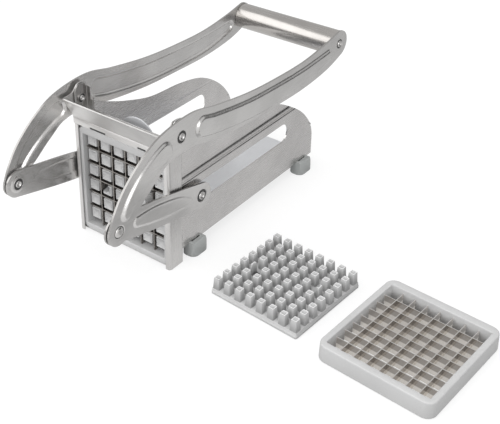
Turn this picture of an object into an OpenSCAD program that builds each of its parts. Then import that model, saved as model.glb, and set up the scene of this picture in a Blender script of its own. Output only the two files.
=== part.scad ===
// French fry cutter: a steel body with a drop-in blade frame at its front, and two
// levers joined by a handle tube that drive a pusher block through the blades.
// The handle is down and the pusher is home. X is across, Y runs from the blades
// towards the handle, Z is up. The origin is on the floor, midway below the lever pivots.

/* [Blade frame] */
// Width of the clear opening in a blade frame
opening_w = 71; // [70.5:0.5:73]
// Height of the clear opening in a blade frame
opening_h = 73.6; // [72:0.4:76]
// Plastic left and right of the opening
border_w = 4.7; // [4:0.1:6]
// Plastic above the opening
border_high = 6.4; // [5:0.1:8]
// Plastic below the opening
border_low = 5.4; // [4:0.1:7]
// Thickness of a blade frame from front to back
cassette_d = 12; // [11.5:0.1:12.4]
// Radius of the outer corners of a blade frame
cassette_r = 7; // [2:0.5:8]
// Depth of the cutting edges behind the front face
blade_inset = 3.4; // [2:0.1:3.8]
// Width of a blade from its cutting edge to its back
blade_d = 8; // [6:0.1:8.2]
// Thickness of a blade
blade_t = 0.6; // [0.4:0.05:1]
// Length of a blade end that the plastic holds
blade_seat = 2.5; // [1.5:0.1:3.5]

/* [Cutting grid] */
// Cells along each side of the coarse grid
coarse_n = 6; // [4:1:6]
// Spacing of the coarse cells
coarse_pitch = 12; // [11:0.1:12.2]
// Cells along each side of the fine grid
fine_n = 8; // [6:1:8]
// Spacing of the fine cells
fine_pitch = 9; // [8.5:0.1:9.1]

/* [Pusher] */
// Gap between the pusher plate and each side of the opening
plate_gap = 0.5; // [0.4:0.05:1]
// Half of the difference in height between the opening and the pusher plate
plate_gap_h = 1.8; // [1.2:0.1:2.4]
// How far the front step of the plate stands in from its edge
step_in = 0.4; // [0.2:0.1:1]
// Thickness of each of the two steps of the plate
step_t = 2.2; // [1.8:0.1:2.4]
// Gap between two posts at their roots
gap_root = 2.7; // [2.2:0.1:3.4]
// Gap between two posts at their tips
gap_tip = 4.1; // [3.5:0.1:4.8]
// Sideways place of each screw from the middle of the plate
screw_x = 20; // [18:0.5:22]
// Height of each screw from the middle of the plate
screw_z = 4.5; // [3:0.5:6]
// Radius of the screws
screw_r = 2; // [1.5:0.1:2.4]
// Radius of the screw heads
screw_head_r = 3.4; // [3:0.1:3.8]
// Thickness of the screw heads
screw_head_t = 1.8; // [1.2:0.1:2.4]
// How far the pusher's middle is above the middle of the opening
grid_lift = 1.7; // [1.2:0.1:1.75]
// How far the blades sit below the gaps between the posts
grid_drop = 0.4; // [0:0.1:0.6]

/* [Front frame] */
// Play beside the blade frame, inside each column
side_play = 0.6; // [0.2:0.1:1]
// Depth of a column from front to back
column_d = 14.7; // [14.6:0.1:15.4]
// Thickness of the steel of the front frame and rail
frame_t = 1.2; // [1:0.1:1.2]
// Width of the flange in front of the blade frame
front_flange = 4; // [3:0.1:5]
// Width of the flange behind the ear
rear_flange = 4; // [3:0.1:5]
// Height of the column above the blade frame
top_gap = 0.6; // [0.3:0.1:1]
// Rise of the rear plate above the columns
rear_rise = 6.3; // [4:0.1:8]
// Drop of the fillet beside the wall below the pivot
fillet_drop = 2.5; // [1:0.1:6]
// Rise of the ears above the columns
ear_rise = 26.7; // [25:0.1:28]
// Outside radius of the column's front bend
bend_r = 2.2; // [1.6:0.1:3]
// Play of the blade frame behind the front flanges
cassette_play = 0.2; // [0.1:0.05:0.3]

/* [Rail] */
// Height of the rail's lip, which stands over the blade frame
lip_h = 5; // [4:0.1:7]
// Reach of the rail's top edge in front of its lip
rail_reach = 9; // [6:0.1:11]
// Rise of the rail's top edge above the columns
rail_rise = 21.7; // [19:0.1:23]
// Length of the slot in the lip at the left
lip_slot_l = 14; // [8:0.5:16]
// Length of the slot in the lip at the right
lip_slot_s = 7; // [4:0.5:10]
// Height of the slots in the lip
lip_slot_h = 1.2; // [0.8:0.1:2]

/* [Walls] */
// How far the lower panel of a wall is set in from the column
wall_set = 2; // [1.6:0.1:2.2]
// Length of a wall behind the front frame
wall_l = 165; // [160:1:175]
// Thickness of the walls and the tray
wall_t = 1; // [0.8:0.1:1.1]
// Play between the pusher plate and each upper panel
plate_play = 0.6; // [0.4:0.1:0.8]
// Height of the ledge between the two panels
ledge_z = 61.2; // [59:0.1:63]
// Height of the wall's low edge above the floor
base_z = 8.9; // [8.2:0.1:9]
// Height of the hump above the wall's low edge
hump_h = 66.9; // [66:0.1:70]
// Height of the guide slot
slot_h = 15.2; // [14:0.1:17]
// Height of the flanges of the tray
tray_flange = 8; // [5:0.5:12]

/* [Feet] */
// Length of a foot
foot_l = 17.2; // [15:0.1:22]
// How far a foot stands out from the wall at the floor
foot_out = 6.3; // [5:0.1:8]
// How far a foot reaches in under the tray
foot_in = 6; // [4:0.1:10]
// Height of the foot's lip up the wall
foot_lip = 1.3; // [1:0.1:4]
// Distance from the front frame back to the front foot
foot_gap = 6.4; // [1:0.1:10]
// Distance from the rear end of the wall to the rear foot
foot_end = 6; // [4:0.1:12]

/* [Levers] */
// Distance from the front face back to the lever pivots
pivot_back = 8.3; // [7.8:0.1:8.8]
// Rise of the lever pivots above the columns
pivot_rise = 16.2; // [15.8:0.1:17]
// Length of the front arm from its pivot to the link
crank_r = 73.1; // [72:0.1:75]
// Angle of the front arm below level when the handle is down
crank_fall = 32.6; // [31:0.1:33.5]
// Distance from the pivot back to the handle
handle_reach = 193.4; // [180:0.2:205]
// Drop of the handle below the pivot
handle_drop = 5.2; // [0:0.1:8]
// Half of the usual width of a lever
arm_half = 11; // [10:0.1:11.4]
// Thickness of the levers
lever_t = 1.5; // [1.2:0.1:1.8]
// Height of the pressed panels above the lever
panel_up = 1; // [0.6:0.1:1.3]
// Play between the lever and the link inside it
lever_play = 0.4; // [0.3:0.05:0.6]
// Angle through which the handle lifts
lift = 90; // [70:1:90]

/* [Links] */
// Distance from the back of the pusher to the sliding pins
pin_back = 14.82; // [13:0.01:18]
// Height of the sliding pins above the middle of the pusher
pin_rise = 0.3; // [0:0.1:2]
// Half of the width of a link at its middle
link_half = 10.6; // [9.8:0.1:11.4]
// Radius of the ends of a link
link_end_r = 9.6; // [8.4:0.1:10.6]
// Thickness of the links
link_t = 1.4; // [1.1:0.1:1.5]
// Height of the pressed panel above the link
link_panel_up = 0.8; // [0.5:0.1:1]
// Gap between the column and the link
link_gap = 0.8; // [0.7:0.1:1.2]

/* [Handle] */
// Outside diameter of the handle tube
tube_d = 20; // [18:0.2:22]
// Wall of the handle tube
tube_t = 1.2; // [0.8:0.1:1.6]
// Radius of the rod through the handle
rod_r = 3; // [2.5:0.1:3.5]
// Length of the plugs in the ends of the tube
plug_l = 8; // [5:0.5:14]

/* [Rivets] */
// Radius of the pivot rivets
pivot_r = 3.3; // [2.8:0.1:3.4]
// Radius of the pins at the ends of the links
pin_r = 3.1; // [2.5:0.1:3.4]
// How far a rivet head overlaps its hole
head_over = 1.6; // [1.2:0.1:1.7]
// Thickness of a domed rivet head
head_t = 1.3; // [1:0.1:1.5]
// Thickness of a flattened rivet tail
tail_t = 0.8; // [0.6:0.1:1]
// Running clearance of a pin in its hole
run_fit = 0.06; // [0.03:0.01:0.09]
// Clearance between faces that move past each other
slide_gap = 0.3; // [0.25:0.01:0.4]

/* [Carriage] */
// Thickness of the carriage steel
carriage_t = 1.2; // [1:0.1:1.4]
// Radius of the round tab on top of the carriage
tab_r = 16.2; // [12:0.1:18]
// Height of the middle of the tab's arc above the middle of the pusher
tab_rise = 35.9; // [34:0.1:40]
// Half of the height of the carriage arms
arm_h = 8; // [6:0.1:9]
// Reach of the carriage arms behind the pin
arm_tail = 10; // [6:0.1:14]

/* [Loose pieces] */
// Sideways place of the loose pusher on the floor
loose_pusher_x = 115.2; // [108:0.2:118]
// Place of the loose pusher from front to back
loose_pusher_y = 22.8; // [0:0.1:60]
// Sideways place of the loose blade frame on the floor
loose_frame_x = 208; // [206:0.5:240]
// Place of the loose blade frame from front to back
loose_frame_y = 18.6; // [0:0.1:60]
// Turn of the loose pieces on the floor
loose_turn = -3.7; // [-10:0.1:4]

/* [Hidden] */

// Smoothness of round holes, shafts and arcs
$fn = 48;
// Points along each quarter circle of an outline, and between two points of a curve
arc_steps = 6;
curve_steps = 4;
// Overrun of a cut past the face it opens
cut = 0.5;
// Clearance of a part that is pressed or moulded in place
seat_fit = 0.05;

// Places along Y
front_y = -pivot_back;
frame_back_y = front_y + column_d;
cassette_y = front_y + frame_t + cassette_play;
cassette_back_y = cassette_y + cassette_d;
tips_y = cassette_y + blade_inset;
// The pusher stops this far behind the blades
stop_gap = 0.5;
step_front_y = tips_y + blade_d + stop_gap;
plate_back_y = step_front_y + 2 * step_t;
post_l = step_front_y - tips_y;

// Blade frame
cassette_w = opening_w + 2 * border_w;
cassette_h = opening_h + border_low + border_high;
// The blade frame rests this far above the strap under it
strap_gap = 0.1;
opening_z = frame_t + strap_gap + border_low + opening_h / 2;
// The blades stand this far above the middle of the opening
grid_up = grid_lift - grid_drop;
// Heights of the middle of the pusher, of the sliding pins and of the tab
grid_z = opening_z + grid_lift;
pin_z = grid_z + pin_rise;
tab_z = grid_z + tab_rise;

// Widths and heights that follow from the blade frame
plate_w = opening_w - 2 * plate_gap;
plate_h = opening_h - 2 * plate_gap_h;
frame_w = cassette_w + 2 * (frame_t + side_play);
column_h = frame_t + strap_gap + cassette_h + top_gap;
rear_plate_h = column_h + rear_rise;
ear_h = column_h + ear_rise;
rail_h = column_h + rail_rise;
pivot_z = column_h + pivot_rise;

// Strap under the blade frame, from the column's front face
strap_front = 3;

// Crank, link and sliding pin with the handle down and lifted
function crank_at(a) = [-crank_r * cos(crank_fall + a), pivot_z - crank_r * sin(crank_fall + a)];
crank_y = crank_at(0)[0];
crank_z = crank_at(0)[1];
pin_y = plate_back_y + pin_back;
link_l = sqrt(pow(pin_y - crank_y, 2) + pow(crank_z - pin_z, 2));
function pin_at(a) = crank_at(a)[0] + sqrt(pow(link_l, 2) - pow(crank_at(a)[1] - pin_z, 2));
travel = pin_at(lift) - pin_y;
handle_z = pivot_z - handle_drop;

// Layers along X, outwards from the column
column_x = frame_w / 2;
ear_x = column_x + frame_t;
link_x = column_x + link_gap;
link_out_x = link_x + link_t;
lever_x = link_out_x + link_panel_up + lever_play;
lever_out_x = lever_x + lever_t;

// Walls
wall_x = column_x - wall_set;
upper_x = plate_w / 2 + plate_play + wall_t;
wall_end_y = frame_back_y + wall_l;
slot_spare = 0.6;
slot_end_y = pin_y + travel + slot_spare;
window_w = 2 * (upper_x - wall_t);

// Carriage arms run inside the lower panels
arm_x = wall_x - wall_t - 2 * slide_gap;

// Outline of the wall's top edge, as shares of its length and of its hump
wall_top_shares = [
    [0, 1.40], [0.02, 1.35], [0.05, 1.305], [0.10, 1.25], [0.20, 1.155], [0.365, 1.04],
    [0.565, 1.0], [0.711, 0.93], [0.82, 0.80], [0.911, 0.63], [0.972, 0.45], [0.996, 0.31], [1, 0.2]
];

// Middle line of the lever: share of the arm along it, share across it, share of the half width
front_arm_shares = [
    [1, 0, 0.86], [0.86, 0.072, 0.93], [0.7, 0.108, 1.08], [0.47, 0.127, 1.13], [0.21, 0.102, 1.09]
];
rear_arm_shares = [
    [0.05, 0.004, 1.11], [0.18, -0.02, 1.12], [0.37, -0.042, 1.06], [0.55, -0.048, 1.01],
    [0.74, -0.046, 1.01], [0.9, -0.026, 1.03], [1, 0, 0.955]
];
// Pressed panels of the lever: row of its middle line, share beside it, share of the half width
front_panel_shares = [[1.6, 0.1, 0.5], [2.2, 0.095, 0.55], [2.9, 0.03, 0.65], [3.7, -0.14, 0.73]];
rear_panel_shares = [
    [5.72, 0, 0.72], [6.8, -0.09, 0.76], [8.1, -0.1, 0.75], [9.2, -0.05, 0.68], [10.1, 0, 0.5]
];

// A point on a smooth curve through the rows of a table, t counted in rows
function row(table, i) = table[max(0, min(len(table) - 1, i))];
function blend(table, t) =
    let (i = min(floor(t), len(table) - 2), f = t - i)
    let (a = row(table, i - 1), b = row(table, i), c = row(table, i + 1), d = row(table, i + 2))
    (2 * b + (c - a) * f + (2 * a - 5 * b + 4 * c - d) * f * f + (3 * b - a - 3 * c + d) * f * f * f) / 2;
function curve(table, steps) =
    [for (k = [0 : (len(table) - 1) * steps]) blend(table, k / steps)];

// Points of an arc, and of a rectangle with round corners
function arc(centre, r, from, to, steps) =
    [for (k = [0 : steps]) centre + r * [cos(from + (to - from) * k / steps), sin(from + (to - from) * k / steps)]];
function round_box(w, h, r) = concat(
    arc([w / 2 - r, h / 2 - r], r, 0, 90, arc_steps),
    arc([r - w / 2, h / 2 - r], r, 90, 180, arc_steps),
    arc([r - w / 2, r - h / 2], r, 180, 270, arc_steps),
    arc([w / 2 - r, r - h / 2], r, 270, 360, arc_steps));

// Direction of a curve at row i, and its left normal
function heading(points, i) =
    let (d = row(points, i + 1) - row(points, i - 1)) atan2(d[1], d[0]);
function beside(points, i, side) = [
    points[i][0] - side * points[i][2] * sin(heading(points, i)),
    points[i][1] + side * points[i][2] * cos(heading(points, i))];
// Outline of a band round a middle line of rows [y, z, half width], with round ends
function band(points) =
    let (n = len(points) - 1, a = heading(points, 0), b = heading(points, n))
    let (first = [points[0][0], points[0][1]], last = [points[n][0], points[n][1]])
    concat(
        [for (i = [0 : n]) beside(points, i, -1)],
        [for (k = [1 : 2 * arc_steps - 1]) last + points[n][2] * [cos(b - 90 + 90 * k / arc_steps), sin(b - 90 + 90 * k / arc_steps)]],
        [for (i = [n : -1 : 0]) beside(points, i, 1)],
        [for (k = [1 : 2 * arc_steps - 1]) first + points[0][2] * [cos(a + 90 + 90 * k / arc_steps), sin(a + 90 + 90 * k / arc_steps)]]);

// Middle line of the lever in the side view
front_dir = [-cos(crank_fall), -sin(crank_fall)];
front_side = [-sin(crank_fall), cos(crank_fall)];
handle_l = sqrt(pow(handle_reach, 2) + pow(handle_drop, 2));
rear_dir = [handle_reach, -handle_drop] / handle_l;
rear_side = [handle_drop, handle_reach] / handle_l;
pivot_at = [0, pivot_z];
function front_row(s) =
    let (p = pivot_at + crank_r * (s[0] * front_dir + s[1] * front_side)) [p[0], p[1], s[2] * arm_half];
function rear_row(s) =
    let (p = pivot_at + handle_l * (s[0] * rear_dir + s[1] * rear_side)) [p[0], p[1], s[2] * arm_half];
lever_rows = concat([for (s = front_arm_shares) front_row(s)], [for (s = rear_arm_shares) rear_row(s)]);
// Direction of the lever's middle line at row t, measured over a short step
row_step = 0.1;
function lever_heading(t) =
    let (d = blend(lever_rows, t + row_step) - blend(lever_rows, t - row_step)) atan2(d[1], d[0]);
function panel_band(table, inset) =
    [for (s = curve(table, curve_steps))
        let (p = blend(lever_rows, s[0]), a = lever_heading(s[0]))
        [p[0] - s[1] * arm_half * sin(a), p[1] + s[1] * arm_half * cos(a), s[2] * arm_half - inset]];

// Extrudes an outline given in Y and Z along X, from x up
module side_plate(points, x, t) {
    translate([x, 0, 0]) rotate([90, 0, 90]) linear_extrude(t) polygon(points);
}

// A round shaft along X
module shaft(y, z, r, x0, x1) {
    translate([x0, y, z]) rotate([0, 90, 0]) cylinder(r = r, h = x1 - x0);
}

// A shallow domed rivet head that stands out along X
module dome_head(y, z, r, x, t) {
    translate([x, y, z]) rotate([90, 0, 90]) rotate_extrude()
        polygon(concat([[0, 0], [r, 0]], [for (k = [1 : arc_steps]) [r * cos(90 * k / arc_steps), t * sin(90 * k / arc_steps)]]));
}

// Copies the right side's piece to the left
module both_sides() {
    children();
    mirror([1, 0, 0]) children();
}

// Steel of the column in plan: front flange, round front bend, web and rear flange
column_plan = concat(
    [[column_x - front_flange, front_y]],
    arc([column_x - bend_r, front_y + bend_r], bend_r, -90, 0, arc_steps),
    [[column_x, frame_back_y], [column_x - rear_flange, frame_back_y], [column_x - rear_flange, frame_back_y - frame_t],
        [column_x - frame_t, frame_back_y - frame_t]],
    arc([column_x - bend_r, front_y + bend_r], bend_r - frame_t, 0, -90, arc_steps),
    [[column_x - front_flange, front_y + frame_t]]);

// Side view of the ear: a round boss over the pivot, with a step down to the rail
ear_front_y = front_y + frame_t + seat_fit;
ear_top_half = 4.5;
ear_shoulder = 3.5;
ear_points = [
    [frame_back_y, column_h - cut], [frame_back_y, ear_h - ear_shoulder], [frame_back_y - ear_shoulder, ear_h],
    [-ear_top_half, ear_h], [ear_front_y, ear_h - 2 * ear_shoulder / 3], [ear_front_y, column_h - cut]];

// The columns, their ears, the rear plate and the strap under the blade frame, one pressed piece
module front_frame() {
    color("#b4b1ad") difference() {
        union() {
            both_sides() {
                linear_extrude(column_h) polygon(column_plan);
                side_plate(ear_points, column_x - frame_t, frame_t);
                translate([column_x - rear_flange, frame_back_y - frame_t, column_h - cut])
                    cube([rear_flange, frame_t, ear_h - ear_shoulder - column_h + cut]);
                translate([upper_x - wall_t, frame_back_y - frame_t, column_h - cut])
                    cube([column_x - upper_x, frame_t, pivot_z - fillet_drop - column_h + cut]);
            }
            translate([-column_x, frame_back_y - frame_t, 0]) cube([frame_w, frame_t, rear_plate_h]);
            translate([-column_x + frame_t / 2, front_y + strap_front, 0])
                cube([frame_w - frame_t, column_d - strap_front, frame_t]);
        }
        translate([-window_w / 2, frame_back_y - frame_t - cut, base_z + wall_t])
            cube([window_w, frame_t + 2 * cut, 2 * (grid_z - base_z - wall_t)]);
        shaft(0, pivot_z, pivot_r + seat_fit, -column_x - cut, column_x + cut);
    }
}

// Section of the rail: an upright lip, then a face that leans forward
lip_z = column_h + seat_fit;
rail_lean = atan2(rail_reach, rail_h - lip_z - lip_h);
rail_lift = frame_t * sin(rail_lean);
rail_back = frame_t * cos(rail_lean);
rail_points = [
    [front_y, lip_z], [front_y, lip_z + lip_h], [front_y - rail_reach, rail_h],
    [front_y - rail_reach + rail_back, rail_h + rail_lift],
    [front_y + frame_t, lip_z + lip_h + rail_lift], [front_y + frame_t, lip_z]];
rail_ear_points = [
    [front_y + frame_t / 2, lip_z], [frame_back_y, lip_z], [frame_back_y, ear_h - ear_shoulder],
    [frame_back_y - ear_shoulder, ear_h + ear_shoulder / 4], [-ear_top_half + frame_t, ear_h + ear_shoulder / 4],
    [front_y + frame_t, rail_h + rail_lift], [front_y - rail_reach + rail_back, rail_h + rail_lift],
    [front_y + rail_back, lip_z + lip_h]];
// Middle of the long slot and of the short slot in the lip
long_slot_x = -19.5;
short_slot_x = 19.5;

// The rail across the front, bent back at its ends into the ears that the levers ride on
module top_rail() {
    color("#bdbab6") difference() {
        union() {
            side_plate(rail_points, -ear_x, 2 * ear_x);
            both_sides() side_plate(rail_ear_points, column_x, frame_t);
        }
        translate([long_slot_x - lip_slot_l / 2, front_y - cut, lip_z - cut])
            cube([lip_slot_l, frame_t + 2 * cut, lip_slot_h + cut]);
        translate([short_slot_x - lip_slot_s / 2, front_y - cut, lip_z - cut])
            cube([lip_slot_s, frame_t + 2 * cut, lip_slot_h + cut]);
        shaft(0, pivot_z, pivot_r + seat_fit, -ear_x - cut, ear_x + cut);
    }
}

// Side view of a wall, and its section with the ledge between the two panels
wall_points = concat(
    [[frame_back_y, base_z], [wall_end_y, base_z]],
    [for (i = [len(wall_top_shares) * curve_steps - curve_steps : -1 : 0])
        let (p = blend(wall_top_shares, i / curve_steps)) [frame_back_y + p[0] * wall_l, base_z + p[1] * hump_h]]);
wall_top_z = base_z + 2 * hump_h;
wall_section = [
    [wall_x - wall_t, base_z], [wall_x, base_z], [wall_x, ledge_z], [upper_x, ledge_z], [upper_x, wall_top_z],
    [upper_x - wall_t, wall_top_z], [upper_x - wall_t, ledge_z - wall_t], [wall_x - wall_t, ledge_z - wall_t]];

// The right wall: a joggled sheet with a high front, a round rear end and the guide slot
module wall_sheet() {
    difference() {
        intersection() {
            side_plate(wall_points, upper_x - 2 * wall_t, wall_x - upper_x + 3 * wall_t);
            translate([0, wall_end_y + cut, 0]) rotate([90, 0, 0])
                linear_extrude(wall_l + cut + wall_t) polygon(wall_section);
        }
        shaft(pin_y, pin_z, slot_h / 2, wall_x - 2 * wall_t, wall_x + wall_t);
        shaft(slot_end_y, pin_z, slot_h / 2, wall_x - 2 * wall_t, wall_x + wall_t);
        translate([wall_x - 2 * wall_t, pin_y, pin_z - slot_h / 2])
            cube([3 * wall_t, slot_end_y - pin_y, slot_h]);
    }
}

module right_wall() {
    color("#aaa7a4") wall_sheet();
}

module left_wall() {
    color("#aaa7a4") mirror([1, 0, 0]) wall_sheet();
}

// The floor of the trough, with its long edges turned up inside the walls
tray_x = wall_x - wall_t - seat_fit;
tray_section = [
    [-tray_x, base_z], [tray_x, base_z], [tray_x, base_z + tray_flange], [tray_x - wall_t, base_z + tray_flange],
    [tray_x - wall_t, base_z + wall_t], [wall_t - tray_x, base_z + wall_t], [wall_t - tray_x, base_z + tray_flange],
    [-tray_x, base_z + tray_flange]];

module base_tray() {
    color("#c3c8cc") translate([0, wall_end_y, 0]) rotate([90, 0, 0]) linear_extrude(wall_l) polygon(tray_section);
}

// A foot seen from above, from the front and from the side
foot_x0 = wall_x - foot_in;
foot_x1 = wall_x + foot_out;
foot_r = 5;
foot_top_z = base_z + foot_lip;
foot_draft = 2.2;
foot_lean = 1.6;
// The lip stands off the wall in a shallow pocket
pocket_l = 9;
pocket_t = 1.1;
pocket_h = 1.8;
foot_front = [
    [foot_x0, 0], [foot_x1, 0], [foot_x1 - foot_draft, foot_top_z], [wall_x + seat_fit, foot_top_z],
    [wall_x + seat_fit, base_z - seat_fit], [foot_x0, base_z - seat_fit]];
foot_side = [[0, 0], [foot_l, 0], [foot_l - foot_lean, foot_top_z], [foot_lean, foot_top_z]];

// A plastic foot whose round front end starts at y
module foot(y) {
    color("#a3a6a4") difference() {
        intersection() {
            translate([(foot_x0 + foot_x1) / 2, y + foot_l / 2, 0])
                linear_extrude(foot_top_z) polygon(round_box(foot_x1 - foot_x0, foot_l, foot_r));
            translate([0, y + foot_l, 0]) rotate([90, 0, 0]) linear_extrude(foot_l) polygon(foot_front);
            side_plate([for (p = foot_side) [y + p[0], p[1]]], foot_x0, foot_x1 - foot_x0);
        }
        translate([wall_x, y + (foot_l - pocket_l) / 2, foot_top_z - pocket_h])
            cube([pocket_t, pocket_l, pocket_h + cut]);
    }
}

front_foot_y = frame_back_y + foot_gap;
rear_foot_y = wall_end_y - foot_end - foot_l;

module front_right_foot() {
    foot(front_foot_y);
}

module front_left_foot() {
    mirror([1, 0, 0]) foot(front_foot_y);
}

module rear_right_foot() {
    foot(rear_foot_y);
}

module rear_left_foot() {
    mirror([1, 0, 0]) foot(rear_foot_y);
}

// Places of the blades of a grid, from its middle
function blade_places(n, pitch) = [for (i = [1 : n - 1]) (i - n / 2) * pitch];

// A blade frame lying on its back round the middle of its opening: X across, Y up, Z to the front
module frame_ring(n, pitch) {
    slot_w = blade_t + 2 * seat_fit;
    slot_top = cassette_d - blade_inset + seat_fit;
    long_x = opening_w + 2 * (blade_seat + seat_fit);
    long_y = opening_h + 2 * (blade_seat + seat_fit);
    difference() {
        translate([0, (border_high - border_low) / 2, 0])
            linear_extrude(cassette_d) polygon(round_box(cassette_w, cassette_h, cassette_r));
        translate([-opening_w / 2, -opening_h / 2, -cut]) cube([opening_w, opening_h, cassette_d + 2 * cut]);
        for (p = blade_places(n, pitch)) {
            translate([p - slot_w / 2, -long_y / 2, -cut]) cube([slot_w, long_y, slot_top + cut]);
            translate([-long_x / 2, grid_up + p - slot_w / 2, -cut]) cube([long_x, slot_w, slot_top + cut]);
        }
    }
}

// Blades that run up the opening, notched from behind where the level ones cross
module up_blades(n, pitch) {
    notch = blade_t + 2 * seat_fit;
    back = cassette_d - blade_inset - blade_d;
    length = opening_h + 2 * blade_seat;
    for (p = blade_places(n, pitch)) difference() {
        translate([p - blade_t / 2, -length / 2, back]) cube([blade_t, length, blade_d]);
        for (q = blade_places(n, pitch)) translate([p - blade_t, grid_up + q - notch / 2, back - cut])
            cube([2 * blade_t, notch, blade_d / 2 + seat_fit + cut]);
    }
}

// Blades that run across the opening, notched from the front
module cross_blades(n, pitch) {
    notch = blade_t + 2 * seat_fit;
    back = cassette_d - blade_inset - blade_d;
    length = opening_w + 2 * blade_seat;
    for (q = blade_places(n, pitch)) difference() {
        translate([-length / 2, grid_up + q - blade_t / 2, back]) cube([length, blade_t, blade_d]);
        for (p = blade_places(n, pitch)) translate([p - notch / 2, grid_up + q - blade_t, back + blade_d / 2 - seat_fit])
            cube([notch, 2 * blade_t, blade_d / 2 + seat_fit + cut]);
    }
}

// Stands a piece that lies on its back upright at the front of the body
module stand(y, z) {
    translate([0, y, z]) rotate([90, 0, 0]) children();
}

module blade_frame() {
    color("#b9bbbc") stand(cassette_back_y, opening_z) frame_ring(coarse_n, coarse_pitch);
}

module upright_blades() {
    color("#8f8b86") stand(cassette_back_y, opening_z) up_blades(coarse_n, coarse_pitch);
}

module level_blades() {
    color("#8f8b86") stand(cassette_back_y, opening_z) cross_blades(coarse_n, coarse_pitch);
}

// Side view of one row of posts, each wider at its root, standing on z = 0
function post_row(n, pitch) = concat(
    [[-n * pitch / 2, -cut], [-n * pitch / 2, 0]],
    [for (i = [0 : n - 1]) let (m = (i - (n - 1) / 2) * pitch, a = (pitch - gap_root) / 2, b = (pitch - gap_tip) / 2)
        each [[m - a, 0], [m - b, post_l], [m + b, post_l], [m + a, 0]]],
    [[n * pitch / 2, 0], [n * pitch / 2, -cut]]);

// The screw holes sit on two opposite sides of the middle of the plate
module at_screws() {
    for (s = [-1, 1]) translate([s * screw_x, s * screw_z, 0]) children();
}

// A pusher lying on its back: a stepped plate with a square post for each cell
module pusher(n, pitch) {
    post_span = n * pitch;
    difference() {
        union() {
            translate([-plate_w / 2, -plate_h / 2, 0]) cube([plate_w, plate_h, step_t]);
            translate([step_in - plate_w / 2, step_in - plate_h / 2, 0])
                cube([plate_w - 2 * step_in, plate_h - 2 * step_in, 2 * step_t]);
            intersection() {
                translate([0, post_span / 2, 2 * step_t]) rotate([90, 0, 0])
                    linear_extrude(post_span) polygon(post_row(n, pitch));
                translate([-post_span / 2, 0, 2 * step_t]) rotate([90, 0, 90])
                    linear_extrude(post_span) polygon(post_row(n, pitch));
                translate([-plate_w / 2 + step_in, -plate_h / 2 + step_in, step_t])
                    cube([plate_w - 2 * step_in, plate_h - 2 * step_in, post_l + 2 * step_t]);
            }
        }
        at_screws() {
            translate([0, 0, -cut]) cylinder(r = screw_r + seat_fit, h = 2 * step_t + 2 * cut);
            translate([0, 0, 2 * step_t]) cylinder(r = screw_head_r + 2 * seat_fit, h = post_l + cut);
        }
    }
}

module pusher_block() {
    color("#b6b8ba") stand(plate_back_y, grid_z) pusher(coarse_n, coarse_pitch);
}

// The carriage behind the pusher: a plate with a round tab on top and an arm at each side
carriage_low = 0.6;
module pusher_carriage() {
    color("#c5cad0") difference() {
        union() {
            translate([-plate_w / 2, plate_back_y, grid_z - plate_h / 2 + carriage_low])
                cube([plate_w, carriage_t, plate_h - carriage_low]);
            translate([-arm_x, plate_back_y, pin_z - arm_h]) cube([2 * arm_x, carriage_t, 2 * arm_h]);
            translate([0, plate_back_y + carriage_t, tab_z]) rotate([90, 0, 0]) cylinder(r = tab_r, h = carriage_t, $fn = 96);
            both_sides() {
                translate([arm_x - carriage_t, plate_back_y, pin_z - arm_h])
                    cube([carriage_t, pin_y - plate_back_y + arm_tail - arm_h, 2 * arm_h]);
                shaft(pin_y + arm_tail - arm_h, pin_z, arm_h, arm_x - carriage_t, arm_x);
            }
        }
        shaft(pin_y, pin_z, pin_r + seat_fit, -arm_x - cut, arm_x + cut);
        stand(plate_back_y + carriage_t + cut, grid_z) at_screws()
            cylinder(r = screw_r + seat_fit, h = carriage_t + 2 * cut);
    }
}

// Screws that hold the pusher to the carriage, with a small nut behind
nut_t = 2;
module pusher_screws() {
    color("#d0cdca") stand(plate_back_y + carriage_t + nut_t, grid_z) at_screws() {
        cylinder(r = screw_r, h = nut_t + carriage_t + 2 * step_t);
        cylinder(r = screw_head_r, h = nut_t, $fn = 6);
        translate([0, 0, nut_t + carriage_t + 2 * step_t]) cylinder(r = screw_head_r, h = screw_head_t);
    }
}

// Pins that ride in the wall slots: tail inside the arm, head outside the link
module slide_pins() {
    color("#c9c6c2") both_sides() {
        shaft(pin_y, pin_z, pin_r, arm_x - carriage_t - tail_t / 2, link_out_x + slide_gap + seat_fit);
        shaft(pin_y, pin_z, pin_r + head_over, arm_x - carriage_t - tail_t, arm_x - carriage_t);
        dome_head(pin_y, pin_z, pin_r + head_over, link_out_x + slide_gap, head_t);
    }
}

// Nylon bushes on the pins, which fill the slots of the walls
module slide_bushes() {
    color("#e4e3df") both_sides() difference() {
        shaft(pin_y, pin_z, slot_h / 2 - slide_gap, arm_x + seat_fit, link_x - slide_gap);
        shaft(pin_y, pin_z, pin_r + seat_fit, arm_x - cut, link_x + cut);
    }
}

// The right link: a straight band with round ends and a pressed panel that narrows to the rear
link_mid = [(crank_y + pin_y) / 2, (crank_z + pin_z) / 2];
link_rows = [
    [crank_y, crank_z, link_end_r], [link_mid[0], link_mid[1], link_half], [pin_y, pin_z, link_end_r]];
// rows: share of the link's length, shares of its half width for the middle and for the half width
link_panel_shares = [[0.23, 0.05, 0.43], [0.38, 0.09, 0.6], [0.55, 0.1, 0.64], [0.7, 0.085, 0.57],
    [0.8, 0, 0.42], [0.845, -0.06, 0.34]];
function on_link(share) = [crank_y + share * (pin_y - crank_y), crank_z + share * (pin_z - crank_z)];
function link_panel(inset) = [for (row = link_panel_shares)
    [on_link(row[0])[0] + row[1] * link_half * (crank_z - pin_z) / link_l,
    on_link(row[0])[1] + row[1] * link_half * (pin_y - crank_y) / link_l, row[2] * link_half - inset]];

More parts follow.
